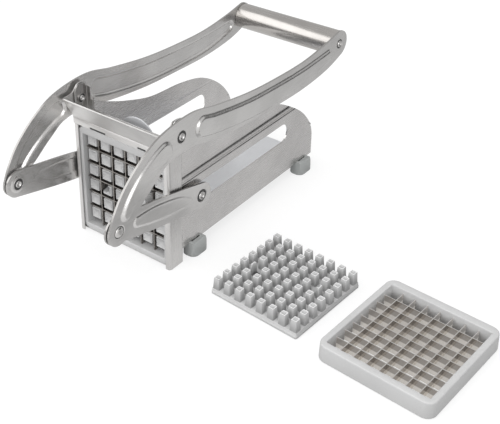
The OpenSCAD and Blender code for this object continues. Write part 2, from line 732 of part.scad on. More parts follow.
module link_plate() {
    difference() {
        union() {
            side_plate(band(curve(link_rows, curve_steps)), link_x, link_t);
            side_plate(band(curve(link_panel(0), curve_steps)), link_x, link_t + link_panel_up);
        }
        side_plate(band(curve(link_panel(link_t), curve_steps)), link_x - cut, link_panel_up + cut);
        shaft(pin_y, pin_z, pin_r + run_fit, link_x - cut, link_out_x + cut);
        shaft(crank_y, crank_z, pin_r + seat_fit, link_x - cut, link_out_x + cut);
    }
}

module right_link() {
    color("#a29e9b") link_plate();
}

module left_link() {
    color("#a29e9b") mirror([1, 0, 0]) link_plate();
}

// The half of the front rivet that stays in the link, with its flattened tail inside
module link_tail() {
    shaft(crank_y, crank_z, pin_r, link_x - link_gap / 4, link_out_x);
    shaft(crank_y, crank_z, pin_r + head_over, link_x - link_gap / 2, link_x);
}

module right_link_rivet() {
    color("#c9c6c2") link_tail();
}

module left_link_rivet() {
    color("#c9c6c2") mirror([1, 0, 0]) link_tail();
}

// The right lever: one bent band with a round end at each pin and two pressed panels
module lever_plate() {
    difference() {
        union() {
            side_plate(band(curve(lever_rows, curve_steps)), lever_x, lever_t);
            for (panel = [front_panel_shares, rear_panel_shares])
                side_plate(band(panel_band(panel, 0)), lever_x, lever_t + panel_up);
        }
        for (panel = [front_panel_shares, rear_panel_shares])
            side_plate(band(panel_band(panel, lever_t)), lever_x - cut, panel_up + cut);
        shaft(0, pivot_z, pivot_r + run_fit, lever_x - cut, lever_out_x + cut);
        shaft(crank_y, crank_z, pin_r + seat_fit, lever_x - cut, lever_out_x + cut);
        shaft(handle_reach, handle_z, rod_r + seat_fit, lever_x - cut, lever_out_x + cut);
    }
}

module right_lever() {
    color("#aeaba7") lever_plate();
}

module left_lever() {
    color("#aeaba7") mirror([1, 0, 0]) lever_plate();
}

// The half of the front rivet that stays in the lever, with its domed head outside
module crank_rivets() {
    color("#c9c6c2") both_sides() {
        shaft(crank_y, crank_z, pin_r, link_out_x + slide_gap, lever_out_x + seat_fit);
        dome_head(crank_y, crank_z, pin_r + head_over, lever_out_x, head_t + tail_t);
    }
}

// Washers between the levers and the links
module crank_washers() {
    color("#dddad6") both_sides() difference() {
        shaft(crank_y, crank_z, pin_r + head_over, link_out_x + slide_gap, lever_x);
        shaft(crank_y, crank_z, pin_r + seat_fit, link_out_x, lever_x + cut);
    }
}

// Rivets that hold the levers to the ears, with tails inside the columns
module pivot_rivets() {
    color("#c9c6c2") both_sides() {
        shaft(0, pivot_z, pivot_r, column_x - frame_t - tail_t / 2, lever_out_x + slide_gap + seat_fit);
        shaft(0, pivot_z, pivot_r + head_over, column_x - frame_t - tail_t, column_x - frame_t);
        dome_head(0, pivot_z, pivot_r + head_over, lever_out_x + slide_gap, head_t);
    }
}

// Washers between the ears and the levers
module pivot_washers() {
    color("#dddad6") both_sides() difference() {
        shaft(0, pivot_z, pivot_r + head_over, ear_x, lever_x - slide_gap);
        shaft(0, pivot_z, pivot_r + seat_fit, ear_x - cut, lever_x);
    }
}

// The tube that the hand pulls, between the levers
module handle_tube() {
    color("#c4c1bd") difference() {
        shaft(handle_reach, handle_z, tube_d / 2, -lever_x, lever_x);
        shaft(handle_reach, handle_z, tube_d / 2 - tube_t, -lever_x - cut, lever_x + cut);
    }
}

// The rod through the tube, riveted over outside both levers
module handle_rod() {
    color("#c9c6c2") {
        shaft(handle_reach, handle_z, rod_r, -lever_out_x - seat_fit, lever_out_x + seat_fit);
        both_sides() dome_head(handle_reach, handle_z, rod_r + head_over, lever_out_x, head_t);
    }
}

// Plugs that centre the rod in the ends of the tube
module handle_plugs() {
    color("#5a5c5e") both_sides() difference() {
        shaft(handle_reach, handle_z, tube_d / 2 - tube_t - seat_fit, lever_x - plug_l, lever_x);
        shaft(handle_reach, handle_z, rod_r + seat_fit, lever_x - plug_l - cut, lever_x + cut);
    }
}

// Lays a piece on the floor beside the body
module lay(x, y) {
    translate([x, y, 0]) rotate([0, 0, loose_turn]) children();
}

module spare_pusher() {
    color("#b6b8ba") lay(loose_pusher_x, loose_pusher_y) pusher(fine_n, fine_pitch);
}

module spare_blade_frame() {
    color("#b9bbbc") lay(loose_frame_x, loose_frame_y) frame_ring(fine_n, fine_pitch);
}

module spare_long_blades() {
    color("#8f8b86") lay(loose_frame_x, loose_frame_y) up_blades(fine_n, fine_pitch);
}

module spare_cross_blades() {
    color("#8f8b86") lay(loose_frame_x, loose_frame_y) cross_blades(fine_n, fine_pitch);
}

front_frame();
top_rail();
left_wall();
right_wall();
base_tray();
front_left_foot();
front_right_foot();
rear_left_foot();
rear_right_foot();
blade_frame();
upright_blades();
level_blades();
pivot_rivets();
pivot_washers();
left_lever();
right_lever();
handle_tube();
handle_rod();
handle_plugs();
crank_rivets();
crank_washers();
pusher_carriage();
pusher_block();
pusher_screws();
slide_pins();
slide_bushes();
left_link();
right_link();
left_link_rivet();
right_link_rivet();
spare_pusher();
spare_blade_frame();
spare_long_blades();
spare_cross_blades();
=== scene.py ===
"""French fry cutter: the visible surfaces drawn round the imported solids.

Lengths in the sections are millimetres in the part's own frame: X across, Y from the blades towards
the handle, Z up. The handle is down and the pusher is home.
"""

import bmesh
import bpy
import numpy as np
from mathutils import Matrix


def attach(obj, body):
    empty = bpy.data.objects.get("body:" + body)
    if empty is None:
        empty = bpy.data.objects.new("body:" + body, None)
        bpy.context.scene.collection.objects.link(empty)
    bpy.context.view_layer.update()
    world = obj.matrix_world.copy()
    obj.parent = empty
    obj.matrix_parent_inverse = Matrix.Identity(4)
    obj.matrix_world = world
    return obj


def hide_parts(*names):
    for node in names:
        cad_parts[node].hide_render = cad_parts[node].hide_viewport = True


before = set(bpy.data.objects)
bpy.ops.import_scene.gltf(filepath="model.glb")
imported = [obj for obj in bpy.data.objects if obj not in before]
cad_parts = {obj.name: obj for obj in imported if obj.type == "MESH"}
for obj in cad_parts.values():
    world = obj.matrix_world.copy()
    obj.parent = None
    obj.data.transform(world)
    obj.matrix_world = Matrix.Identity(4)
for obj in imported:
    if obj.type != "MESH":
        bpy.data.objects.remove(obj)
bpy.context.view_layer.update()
scene = bpy.context.scene

# --- Camera -------------------------------------------------------------------------------------
# Stands where the photograph was taken, high to the front right. The shift gives the photograph's
# crop, with the body at the upper left and the loose pieces at the lower right.
camera_data = bpy.data.cameras.new("camera")
camera_data.sensor_width = 36
camera_data.lens = 72.155
camera_data.shift_x = 0.095
camera_data.shift_y = -0.1739
camera = bpy.data.objects.new("camera", camera_data)
camera.location = (0.3949, -0.4273, 0.4206)
camera.rotation_euler = np.radians((90 - 29.24, 0, 37.81))
scene.collection.objects.link(camera)
scene.camera = camera
scene.view_settings.view_transform = "Standard"


# --- Studio -------------------------------------------------------------------------------------
# A pale floor that keeps a soft shadow, an even grey room, four soft boxes and a dark card that
# gives the bends of the steel their dark lines. The steel doesn't mirror two of the boxes.
def node(tree, kind, settings=None, **inputs):
    """Adds one shader node. Each input is a value or the output of another node, by socket name."""
    made = tree.nodes.new("ShaderNode" + kind)
    for key, value in (settings or {}).items():
        setattr(made, key, value)
    for key, value in inputs.items():
        socket = made.inputs[int(key[1:])] if key[1:].isdigit() else made.inputs[key.replace("_", " ")]
        if isinstance(value, bpy.types.NodeSocket):
            tree.links.new(value, socket)
        else:
            socket.default_value = value
    return made


def flat(name, half_x, half_y):
    """A rectangle of the studio about its own middle, from its half width and half length."""
    mesh = bpy.data.meshes.new(name)
    corners = [(-half_x, -half_y, 0), (half_x, -half_y, 0), (half_x, half_y, 0), (-half_x, half_y, 0)]
    mesh.from_pydata(corners, [], [(0, 1, 2, 3)])
    obj = bpy.data.objects.new(name, mesh)
    scene.collection.objects.link(obj)
    return obj


floor = flat("floor", 3.0, 3.0)
floor.location.z = -0.0002
paint = bpy.data.materials.new("pale_floor")
paint.use_nodes = True
tree = paint.node_tree
tree.nodes.clear()
matt = node(tree, "BsdfDiffuse", Color=(0.3, 0.3, 0.3, 1))
spot = node(tree, "SeparateXYZ", Vector=node(tree, "TexCoord").outputs["Object"])
# Seen in the steel, the floor glows as painted light, brighter towards the front and towards the left
falls = node(tree, "MapRange", Value=spot.outputs["Y"], From_Min=-0.3, From_Max=0.4, To_Min=0.65, To_Max=0.2)
path = node(tree, "LightPath")
left = node(tree, "MapRange", Value=spot.outputs["X"], From_Min=0.07, From_Max=-0.06, To_Min=0.0, To_Max=0.15)
both = node(tree, "Math", {"operation": "ADD"}, _0=falls.outputs[0], _1=left.outputs[0])
mirrored = node(tree, "Math", {"operation": "MULTIPLY"}, _0=path.outputs["Is Glossy Ray"], _1=both.outputs[0])
direct = node(tree, "Math", {"operation": "MULTIPLY_ADD"},
              _0=path.outputs["Is Camera Ray"], _1=0.72, _2=mirrored.outputs[0])
glow = node(tree, "Emission", Color=(1, 1, 1, 1), Strength=direct.outputs[0])
total = node(tree, "AddShader", _0=matt.outputs[0], _1=glow.outputs[0])
node(tree, "OutputMaterial", Surface=total.outputs[0])
floor.data.materials.append(paint)

world = bpy.data.worlds.new("room")
scene.world = world
world.use_nodes = True
tree = world.node_tree
tree.nodes.clear()
path = node(tree, "LightPath")
level = node(tree, "Mix", {"data_type": "FLOAT"}, _0=path.outputs["Is Glossy Ray"], _2=0.62, _3=0.66)
room = node(tree, "Background", Color=(1, 1, 1, 1), Strength=level.outputs[0])
white = node(tree, "Background", Color=(1, 1, 1, 1), Strength=1.0)
shown = node(tree, "MixShader", Fac=path.outputs["Is Camera Ray"], _1=room.outputs[0], _2=white.outputs[0])
node(tree, "OutputWorld", Surface=shown.outputs[0])


def aim(obj, direction, distance):
    """Puts a lamp or card at a distance along a direction from the object and turns it to face it."""
    direction = np.array(direction, float) / np.linalg.norm(direction)
    centre = np.array((0.0, 0.06, 0.05))
    obj.location = centre + direction * distance
    across, fall = np.arctan2(direction[0], -direction[1]), np.arccos(direction[2])
    obj.rotation_euler = (fall, 0, across)


def soft_box(name, direction, distance, width, height, watts):
    """One rectangular area lamp that faces the object."""
    lamp = bpy.data.lights.new(name, "AREA")
    lamp.shape = "RECTANGLE"
    lamp.size, lamp.size_y = width, height
    lamp.energy = watts
    obj = bpy.data.objects.new(name, lamp)
    aim(obj, direction, distance)
    scene.collection.objects.link(obj)
    return obj


soft_box("left_box", (-0.53, -0.64, 0.56), 1.6, 2.1, 1.45, 13.0)
soft_box("right_box", (0.86, -0.40, 0.32), 1.5, 1.0, 0.8, 5.0)
soft_box("top_box", (0, 0.1, 1), 1.6, 1.2, 1.2, 8.0).visible_glossy = False
soft_box("front_box", (0.1, -1, 0.35), 1.7, 1.4, 1.0, 8.0).visible_glossy = False
card = flat("dark_card", 0.6, 0.25)
aim(card, (0.72, 0.69, 0.21), 1.2)
card.visible_camera = False
card.visible_shadow = False
card.visible_diffuse = False
paint = bpy.data.materials.new("black_card")
paint.use_nodes = True
paint.node_tree.nodes["Principled BSDF"].inputs["Base Color"].default_value = (0.02, 0.02, 0.02, 1)
card.data.materials.append(paint)


# --- Front frame --------------------------------------------------------------------------------
# Two columns and a rear plate folded from one stainless sheet, brushed upwards. The plate has a
# window for the pusher, and an ear above each column carries a lever.
def grained(name, colour, roughness, stretch, grain=0.06, bump=0.12, mottle=0.06, metal=1.0):
    """A finish from two noises: a fine one, stretched along the brushing, moves the roughness and the
    relief, and a broad one moves the colour by a small share."""
    made = bpy.data.materials.new(name)
    made.use_nodes = True
    tree = made.node_tree
    tree.nodes.clear()
    where = node(tree, "TexCoord").outputs["Object"]
    lines = node(tree, "TexNoise", Vector=node(tree, "Mapping", Vector=where, Scale=stretch).outputs[0],
                 Scale=1.0, Detail=3.0, Roughness=0.6)
    patches = node(tree, "TexNoise", Vector=where, Scale=38.0, Detail=2.0)
    rough = node(tree, "MapRange", Value=lines.outputs["Fac"], From_Min=0.3, From_Max=0.7,
                 To_Min=roughness - grain, To_Max=roughness + grain)
    both = node(tree, "Mix", {"data_type": "FLOAT"},
                _0=0.4, _2=patches.outputs["Fac"], _3=lines.outputs["Fac"])
    dark, light = (tuple(min(1, c * (1 + s * mottle)) for c in colour) + (1,) for s in (-1, 1))
    tint = node(tree, "MapRange", Value=both.outputs[0], From_Min=0.4, From_Max=0.6)
    shade = node(tree, "Mix", {"data_type": "RGBA"}, _0=tint.outputs[0], _6=dark, _7=light)
    relief = node(tree, "Bump", Strength=bump, Distance=0.0003, Height=lines.outputs["Fac"])
    skin = node(tree, "BsdfPrincipled", Base_Color=shade.outputs[2], Metallic=metal,
                Roughness=rough.outputs[0], Normal=relief.outputs[0])
    node(tree, "OutputMaterial", Surface=skin.outputs[0])
    return made


def blend(finish, measure, axis, start, end, colour):
    """Gives a finish another colour where the size of one coordinate is at start, and its own colour
    from end on. The measure is the texture coordinate's output, such as Object or Normal."""
    tree = finish.node_tree
    skin = tree.nodes["Principled BSDF"]
    place = node(tree, "SeparateXYZ", Vector=node(tree, "TexCoord").outputs[measure])
    size = node(tree, "Math", {"operation": "ABSOLUTE"}, _0=place.outputs[axis])
    share = node(tree, "MapRange", Value=size.outputs[0], From_Min=start, From_Max=end)
    own = skin.inputs["Base Color"].links[0].from_socket
    shade = node(tree, "Mix", {"data_type": "RGBA"}, _0=share.outputs[0], _6=colour + (1,), _7=own)
    tree.links.new(shade.outputs[2], skin.inputs["Base Color"])


def surface(name, points, holes=None, closed=False):
    """A mesh of quads over grids of points in millimetres. Points has rows, columns and three places,
    and may hold many such grids. Holes marks cells to leave out, and closed joins the last column to
    the first. Points that meet are merged."""
    points = np.asarray(points, float)
    grids = points.reshape((-1,) + points.shape[-3:])
    count, rows, columns = grids.shape[:3]
    index = np.arange(count * rows * columns).reshape(count, rows, columns)
    if closed:
        index = np.concatenate([index, index[:, :, :1]], axis=2)
    faces = np.stack([index[:, :-1, :-1], index[:, :-1, 1:], index[:, 1:, 1:], index[:, 1:, :-1]], axis=-1)
    faces = faces.reshape(-1, 4) if holes is None else faces[:, ~holes].reshape(-1, 4)
    mesh = bpy.data.meshes.new(name)
    mesh.from_pydata(grids.reshape(-1, 3) * 0.001, [], faces.tolist())
    work = bmesh.new()
    work.from_mesh(mesh)
    bmesh.ops.remove_doubles(work, verts=work.verts, dist=2e-6)
    bmesh.ops.delete(work, geom=[v for v in work.verts if not v.link_faces], context="VERTS")
    work.to_mesh(mesh)
    work.free()
    mesh.polygons.foreach_set("use_smooth", np.ones(len(mesh.polygons), bool))
    obj = bpy.data.objects.new(name, mesh)
    scene.collection.objects.link(obj)
    return obj


def thicken(obj, thickness, edge=0.0, rings=2):
    """Gives a surface the wall of a sheet, behind it, and rounds the sheet's edges."""
    wall = obj.modifiers.new("wall", "SOLIDIFY")
    wall.thickness, wall.offset, wall.use_even_offset = thickness * 0.001, -1, True
    if edge:
        soften(obj, edge, rings)
    return obj


def soften(obj, edge, rings=2, angle=40):
    """Rounds the sharp edges of a piece."""
    bevel = obj.modifiers.new("edges", "BEVEL")
    bevel.width, bevel.segments, bevel.limit_method = edge * 0.001, rings, "ANGLE"
    bevel.angle_limit, bevel.harden_normals, bevel.loop_slide = np.radians(angle), True, False
    return obj


def recolour(obj, finish):
    """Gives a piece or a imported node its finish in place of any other."""
    obj.data.materials.clear()
    obj.data.materials.append(finish)


def dress(obj, finish, body, stands_for):
    """Gives a piece its finish and its body, and hides the imported node that it stands for."""
    recolour(obj, finish)
    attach(obj, body)
    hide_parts(stands_for)
    return obj


def arc(centre, radius, start, end, steps):
    """Points of a circle's arc, as rows of two places, from one angle in degrees to another."""
    turn = np.radians(np.linspace(start, end, steps + 1))
    return np.asarray(centre) + radius * np.stack([np.cos(turn), np.sin(turn)], -1)


def line(start, end, steps):
    """Points along a straight line, its first end left out."""
    return np.linspace(start, end, steps + 1)[1:]


column_x, front_y, back_y, sheet_t = 42.0, -8.3, 6.4, 0.95
column_top, plate_top, ear_top, pivot_z = 87.3, 93.6, 114.0, 103.5
window_x, window_low, window_high = 35.6, 9.9, 80.5
fillet_top = 101.0
bend, back_bend = 2.2, 1.7
flange_x, fillet_x = 38.0, 36.1
half_plan = np.concatenate([
    [(flange_x, front_y)], line((flange_x, front_y), (column_x - bend, front_y), 2)[:-1],
    arc((column_x - bend, front_y + bend), bend, -90, 0, 7),
    line((column_x, front_y + bend), (column_x, back_y - back_bend), 8)[:-1],
    arc((column_x - back_bend, back_y - back_bend), back_bend, 0, 90, 5),
    [(flange_x, back_y), (fillet_x, back_y), (window_x, back_y)]])
plan = np.concatenate([half_plan, half_plan[::-1] * (-1, 1)])
web_only = 110
heights = np.array([0, 3, window_low, 20, 40, 60, window_high, column_top, plate_top, 96, fillet_top,
                    104, 107, 109, 111, 112.6, 113.6, ear_top])
shape = np.zeros((len(heights), len(plan), 3))
shape[:, :, :2] = plan
shape[:, :, 2] = heights[:, None]
# Above the columns the web is drawn in towards the ear's round top
ear_front = np.interp(heights, [107, 109, 111, 112.6, 113.6, 114], [-6.1, -5.9, -5.2, -4.2, -3.2, -2.2])
ear_back = np.interp(heights, [109, 111, 112.6, 113.6, 114], [back_y, 6.2, 5.4, 4.2, 3.0])
share = (shape[:, :, 1] - (front_y + bend)) / (back_y - front_y - bend)
in_ear = (heights[:, None] >= column_top) & (share >= 0)
drawn_in = ear_front[:, None] + share * (ear_back - ear_front)[:, None]
shape[:, :, 1] = np.where(in_ear, drawn_in, shape[:, :, 1])
mid_z = (heights[1:, None] + heights[:-1, None]) / 2
mid_x = np.abs(plan[1:, 0] + plan[:-1, 0]) / 2
front_side = (plan[1:, 1] + plan[:-1, 1]) / 2 < front_y + bend - 0.01
holes = (mid_z > window_low) & (mid_z < window_high) & (mid_x < window_x - 1) & ~front_side
holes |= (mid_z > column_top) & front_side
holes |= (mid_z > plate_top) & (mid_x < fillet_x)
holes |= (mid_z > fillet_top) & (mid_x < flange_x)
holes |= (mid_z > web_only) & (mid_x < column_x - 0.01)
steel_colour = (0.66, 0.65, 0.64)
steel_up = grained("steel_brushed_up", steel_colour, 0.30, (1400, 1400, 60))
# The ears are darker, because little light reaches them between the lever and the rail. The folds
# in front of them and behind them stay pale.
blend(steel_up, "Object", "Z", 0.098, 0.090, (0.40, 0.39, 0.38))
blend(steel_up, "Object", "Y", 0.0056, 0.0048, steel_colour)
sheet = surface("front_sheet", shape, holes)
thicken(sheet, sheet_t, 0.2)
dress(sheet, steel_up, "body", "front_frame")
strap = surface("strap", [[(x, y, sheet_t) for x in (-41.3, 0, 41.3)] for y in (-5.2, 0, 5.1)])
dress(thicken(strap, sheet_t, 0.25), steel_up, "body", "front_frame")


# --- Rail ---------------------------------------------------------------------------------------
# A strip of the same steel, brushed across. Its lip stands over the blade frame, its face leans
# forward, and its ends are bent back over the ears.
rail_low, rail_top, rail_reach = 87.35, 109.0, 9.0
ear_x, corner = 43.2, 2.4
lean = np.array([(0, rail_low), (0, 88.85), (0, 89.8), (0, 91.9), (0.2, 92.2), (-0.35, 92.75), (-1.5, 95.2),
                 (-3.4, 99), (-5.6, 103), (-7.8, 107), (-rail_reach, rail_top)])
end_tops = np.array([(-9.5, rail_top), (-7, 109.5), (-5, 111.2), (-3.4, 113.2), (-1, 114.6), (3, 114.6),
                     (5, 113.8), (back_y, 111.6)])
across = np.linspace(-ear_x + corner, ear_x - corner, 24)
slots_x = across[[4, 8, 16, 18]]
bend_turn = np.radians(np.linspace(0, 90, 8))
side_share = np.linspace(0, 1, 15)
rows = []
for drop, height in lean:
    face_y = front_y + drop
    side_y = face_y + corner + side_share * (back_y - face_y - corner)
    end_x = np.concatenate([np.full(len(side_y) - 1, ear_x), ear_x - corner + corner * np.cos(bend_turn)])
    end_y = np.concatenate([side_y[:0:-1], face_y + corner - corner * np.sin(bend_turn)])
    rise = (height - rail_low) / (rail_top - rail_low)
    end_z = rail_low + rise * (np.interp(end_y, *end_tops.T) - rail_low)
    right = np.stack([end_x, end_y, end_z], -1)
    middle = np.stack([across[1:-1], np.full(len(across) - 2, face_y), np.full(len(across) - 2, height)], -1)
    rows.append(np.concatenate([right * (-1, 1, 1), middle, right[::-1]]))
shape = np.array(rows)
mid_x = (shape[0, 1:, 0] + shape[0, :-1, 0]) / 2
in_front = (shape[0, 1:, 1] + shape[0, :-1, 1]) / 2 < front_y + 0.1
long_slot = (mid_x > slots_x[0]) & (mid_x < slots_x[1])
short_slot = (mid_x > slots_x[2]) & (mid_x < slots_x[3])
holes = np.zeros((shape.shape[0] - 1, shape.shape[1] - 1), bool)
holes[0] = in_front & (long_slot | short_slot)
steel_across = grained("steel_brushed_across", steel_colour, 0.38, (60, 1400, 1400))
rail = thicken(surface("rail", shape, holes), sheet_t, 0.12)
dress(rail, steel_across, "body", "top_rail")
# Dark plastic for the handle plugs; the same finish paints shade as dark strips and rings
dark_plastic = grained("dark_plastic", (0.05, 0.05, 0.05), 0.5, (400, 400, 400), bump=0.04, metal=0.0)
# The blade frame lies close behind the slots, so a dark strip behind them paints in their shade
for low_x, high_x in (slots_x[:2], slots_x[2:]):
    gap = surface("slot_shade_strip", [[(x, front_y + 0.35, z) for x in (low_x - 0.2, high_x + 0.2)]
                               for z in (rail_low, 89.0)])
    dress(thicken(gap, 0.3), dark_plastic, "body", "top_rail")


# --- Side walls ---------------------------------------------------------------------------------
# Each wall is a 1 mm stainless sheet, brushed lengthways, with a joggle along it, a hump, a round
# rear end and the slot that guides the sliding pin.
def along(table, place):
    """Smooth curve through the rows of a table: the cubic of the four rows round each place."""
    table = np.asarray(table, float)
    row = np.clip(np.floor(place).astype(int), 0, len(table) - 2)
    part = (place - row)[:, None]
    a, b, c, d = (table[np.clip(row + k, 0, len(table) - 1)] for k in (-1, 0, 1, 2))
    bent = (2 * a - 5 * b + 4 * c - d) * part ** 2 + (3 * b - a - 3 * c + d) * part ** 3
    return (2 * b + (c - a) * part + bent) / 2


wall_x, upper_x, wall_low, wall_length, wall_t = 40.0, 36.6, 8.9, 165.0, 1.0
hump, ledge = 66.9, 61.2
slot_front, slot_rear, slot_z, slot_r = 24.22, 127.71, 45.5, 7.6
top_shares = [(0, 1.40), (0.02, 1.35), (0.05, 1.305), (0.10, 1.25), (0.20, 1.155), (0.365, 1.04), (0.565, 1.0),
              (0.711, 0.93), (0.82, 0.80), (0.911, 0.63), (0.972, 0.45), (0.996, 0.31), (1, 0.2)]
outline = along(top_shares, np.linspace(0, 12, 145)) * (wall_length, hump) + (back_y, wall_low)
free_y = slot_rear + 20
wall_end = back_y + wall_length
round_end = np.sin(np.radians(np.linspace(0, 90, 14)[1:]))
wall_y = np.concatenate([np.linspace(back_y, slot_front, 9), line(slot_front, slot_rear, 59),
                         line(slot_rear, free_y, 10), free_y + (wall_end - free_y) * round_end])
low_bend = arc((wall_x - 2.0, ledge - 2.2), 2.0, 0, 70, 6)
high_bend = np.array([(1.5, 0.05), (0.75, 1.0), (0.3, 1.7), (0.08, 2.3), (0, 2.9)]) + (upper_x, ledge)
section = np.concatenate([[(wall_x, wall_low)], low_bend, high_bend, [(upper_x, 120)]])
slot_turn = np.sin(np.radians(np.linspace(-90, 90, 19)))
levels = np.concatenate([np.linspace(wall_low, slot_z - slot_r, 12)[:-1], slot_z + slot_r * slot_turn,
                         [55, 57], section[1:-1, 1], np.linspace(64.5, 103, 18)])
grid_y = np.repeat(wall_y[None, :], len(levels), 0)
reach = np.sqrt(np.clip(slot_r ** 2 - (levels - slot_z) ** 2, 0, None))[:, None]
# The columns before and behind the slot are squeezed so that its ends come out round
front_part, rear_part = grid_y <= slot_front + 1e-3, (grid_y >= slot_rear - 1e-3) & (grid_y <= free_y)
from_front = (grid_y - back_y) * (slot_front - reach - back_y) / (slot_front - back_y)
grid_y = np.where(front_part, back_y + from_front, grid_y)
from_free = (free_y - grid_y) * (free_y - slot_rear - reach) / (free_y - slot_rear)
grid_y = np.where(rear_part, free_y - from_free, grid_y)
# Points over the outline, or less than half a row under it, are set on it, so the edge is smooth
half_row = 0.45 * np.gradient(levels)[:, None]
wall_top = np.interp(grid_y, outline[:, 0], outline[:, 1])
wall_z = np.where(levels[:, None] > wall_top - half_row, wall_top, levels[:, None])
wall_z[0] = wall_low
grid_x = np.interp(wall_z, section[:, 1], section[:, 0])
# The sheet bulges a little over each foot
foot_middles, bulge, bulge_z = (21.4, 156.8), 0.9, 11.0
for middle in foot_middles:
    grid_x += bulge * np.exp(-((grid_y - middle) / 5.5) ** 2 - ((wall_z - bulge_z) / 3.2) ** 2)
in_slot = np.abs((levels[1:] + levels[:-1]) / 2 - slot_z) < slot_r
between = (wall_y[1:] > slot_front + 1e-3) & (wall_y[:-1] < slot_rear - 1e-3)
steel_along = grained("steel_brushed_along", (0.655, 0.642, 0.634), 0.26, (1400, 60, 1400), grain=0.05)
wall_shape = np.stack([grid_x, grid_y, wall_z], -1)
missing = in_slot[:, None] & between
for side, name in ((1, "right_wall"), (-1, "left_wall")):
    wall = surface(name + "_sheet", (wall_shape * (side, 1, 1))[:, ::side], missing[:, ::side])
    dress(thicken(wall, wall_t, 0.2), steel_along, "body", name)


# --- Trough floor -------------------------------------------------------------------------------
# A smooth tray of the same steel between the walls. Its long edges are turned up with round bends
# and lie against the insides of the walls.
tray_x, tray_bend, tray_edge = 38.95, 1.8, 8
tray_half = np.concatenate([[(0, wall_low), (20, wall_low)],
                            arc((tray_x - tray_bend, wall_low + tray_bend), tray_bend, -90, 0, 6),
                            [(tray_x, wall_low + tray_edge)]])
tray_section = np.concatenate([tray_half[:0:-1] * (-1, 1), tray_half])
shape = np.zeros((12, len(tray_section), 3))
shape[:, :, 0] = tray_section[:, 0]
shape[:, :, 2] = tray_section[:, 1]
shape[:, :, 1] = np.linspace(back_y, wall_end, 12)[:, None]
satin = grained("satin_steel", (0.76, 0.77, 0.79), 0.42, (900, 120, 900), grain=0.04, bump=0.06,
                mottle=0.03, metal=0.45)
tray = thicken(surface("tray", shape), wall_t, 0.2)
dress(tray, satin, "body", "base_tray")


# --- Feet ---------------------------------------------------------------------------------------
# Four blocks of grey plastic, pushed on to the lower edges of the walls. A slit between the block
# and the wall takes the edge of the sheet.
def softened_copy(source, edge, angle=30):
    """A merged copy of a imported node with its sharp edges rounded."""
    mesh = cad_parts[source].data.copy()
    work = bmesh.new()
    work.from_mesh(mesh)
    bmesh.ops.remove_doubles(work, verts=work.verts, dist=2e-6)
    bmesh.ops.dissolve_limit(work, angle_limit=np.radians(1), verts=work.verts, edges=work.edges)
    work.to_mesh(mesh)
    work.free()
    mesh.polygons.foreach_set("use_smooth", np.ones(len(mesh.polygons), bool))
    obj = bpy.data.objects.new(source + "_shape", mesh)
    scene.collection.objects.link(obj)
    return soften(obj, edge, 2, angle)


foot_plastic = grained("foot_plastic", (0.44, 0.455, 0.45), 0.5, (500, 500, 500), bump=0.08, mottle=0.04,
                       metal=0.0)
for name in ("front_left_foot", "front_right_foot", "rear_left_foot", "rear_right_foot"):
    dress(softened_copy(name, 0.4, 25), foot_plastic, "body", name)


# --- Blade frames -------------------------------------------------------------------------------
# Frames of light grey plastic with soft edges, one mounted upright and one loose on the floor.
# The steel blades are held in their sides, half lapped where they cross.
def round_box(width, length, radius, steps=6, straight=4):
    """Outline of a rectangle with round corners about its middle, as rows of two places."""
    a, b = width / 2 - radius, length / 2 - radius
    corners = [arc((a, b), radius, 0, 90, steps), arc((-a, b), radius, 90, 180, steps),
               arc((-a, -b), radius, 180, 270, steps), arc((a, -b), radius, 270, 360, steps)]
    runs = [line(corners[k][-1], corners[(k + 1) % 4][0], straight)[:-1] for k in range(4)]
    return np.concatenate([points for pair in zip(corners, runs) for points in pair])


opening_w, opening_h, border_side, border_high, border_low = 71.0, 73.6, 4.7, 6.4, 5.4
frame_w, frame_h = opening_w + 2 * border_side, opening_h + border_high + border_low
frame_middle = (0, (border_high - border_low) / 2)
grey_plastic = grained("grey_plastic", (0.53, 0.53, 0.53), 0.42, (700, 700, 700), bump=0.05, mottle=0.03,
                       metal=0.0)
blade_steel = grained("blade_steel", (0.84, 0.80, 0.75), 0.10, (1200, 1200, 200), grain=0.04, bump=0.05)
# The lying blades get a painted reflection: darker at their upper halves, where they mirror darker things,
# and lighter below, where they mirror the pale floor. Their top edges get a painted highlight
blend(blade_steel, "Object", "Z", 0.0044, 0.0036, (0.44, 0.41, 0.38))
blend(blade_steel, "Normal", "Z", 0.9, 0.5, (0.72, 0.70, 0.68))
# The mounted blades are the same steel, painted darker for the shade they stand in inside the body
shaded_blade_steel = grained("shaded_blade_steel", (0.34, 0.32, 0.30), 0.28, (1200, 200, 1200), grain=0.05,
                           bump=0.05)


def at_height(outline, height):
    """An outline of two places as one row of three, all at one height."""
    return np.column_stack([outline, np.full(len(outline), height)])


def frame_ring():
    """A section with rounded edges carried round the opening: outer corners wide, inner ones sharp."""
    outer = [(0.9, 0), (0.4, 0.12), (0.1, 0.45), (0, 0.9), (0.15, 6), (0.3, 11.0), (0.42, 11.55), (0.75, 11.88),
             (1.25, 12.0)]
    inner = [(0.7, 12.0), (0.3, 11.88), (0.08, 11.6), (0, 11.2), (0, 6), (0, 0.8), (0.3, 0.1), (0.7, 0)]
    rings = [(round_box(frame_w - 2 * i, frame_h - 2 * i, 7.0 - i, 8, 6) + frame_middle, h) for i, h in outer]
    rings += [(round_box(opening_w + 2 * i, opening_h + 2 * i, 0.8 + i, 8, 6), h) for i, h in inner]
    return np.array([at_height(ring, height) for ring, height in rings + rings[:1]])


def stand_up(points, y, z):
    """Turns a piece that lies on its back upright at the front of the body."""
    return np.stack([points[..., 0], y - points[..., 2], z + points[..., 1]], -1)


def lay_down(points, x, y):
    """Turns a lying piece by the loose pieces' angle and puts it at its place on the floor."""
    turn = np.radians(-3.7)
    return np.stack([x + points[..., 0] * np.cos(turn) - points[..., 1] * np.sin(turn),
                     y + points[..., 0] * np.sin(turn) + points[..., 1] * np.cos(turn), points[..., 2]], -1)


